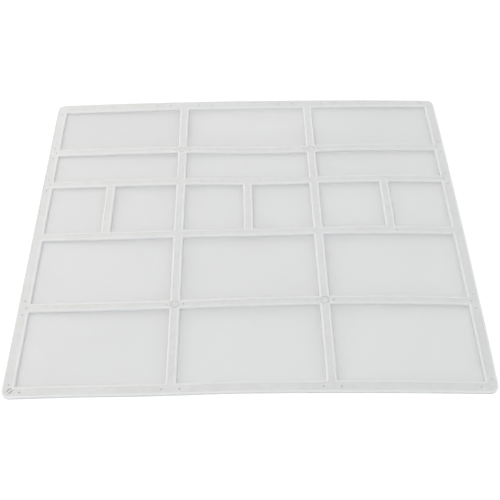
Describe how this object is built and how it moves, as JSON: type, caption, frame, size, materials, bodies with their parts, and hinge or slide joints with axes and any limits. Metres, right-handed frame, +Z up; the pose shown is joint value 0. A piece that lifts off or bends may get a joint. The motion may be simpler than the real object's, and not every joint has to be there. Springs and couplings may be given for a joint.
{
  "type": "framed mesh panel",
  "caption": "Thin, gently bowed rectangular panel with rounded corners: a fine mesh cloth held between two moulded lattices whose ribs divide it into windows of several sizes.",
  "frame": {"origin": "middle of the panel's footprint, on the surface that it lies on", "axes": "+X across the three columns of windows, +Y from the front row to the back row, +Z up, from the plain underside to the lipped upper side"},
  "size_m": [0.38, 0.34, 0.0077],
  "materials": {
    "moulded_plastic": "natural translucent white, moulded satin",
    "woven_mesh": "fine plain-woven white monofilament mesh"
  },
  "bodies": {
    "root": {"lower_lattice": "moulded_plastic", "mesh_cloth": "woven_mesh", "upper_lattice": "moulded_plastic"}
  },
  "joints": []
}
